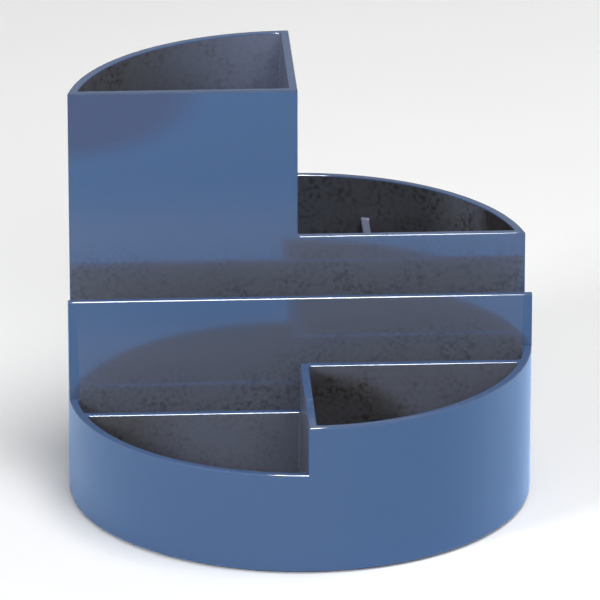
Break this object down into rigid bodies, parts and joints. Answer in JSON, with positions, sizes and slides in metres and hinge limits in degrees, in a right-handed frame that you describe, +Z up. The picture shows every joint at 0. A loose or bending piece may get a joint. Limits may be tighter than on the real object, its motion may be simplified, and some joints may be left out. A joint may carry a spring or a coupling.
{
  "type": "desk organiser",
  "caption": "Round desk organiser with stepped rims: a tall pen compartment, a full-width letter slot, a tray and smaller compartments, on anti-slip pads.",
  "frame": {"origin": "on the surface that the organiser stands on, below the drum's axis", "axes": "+Z up; +Y towards the tall compartment at the back; +X to the right when seen from the low front side"},
  "size_m": [0.14, 0.14, 0.1225],
  "materials": {
    "blue_plastic": "polished moulding, muted blue",
    "pad_rubber": "matt black rubber"
  },
  "bodies": {
    "root": {"organiser_body": "blue_plastic", "foot_pad_front_left": "pad_rubber", "foot_pad_front_right": "pad_rubber", "foot_pad_back_left": "pad_rubber", "foot_pad_back_right": "pad_rubber"}
  },
  "joints": []
}
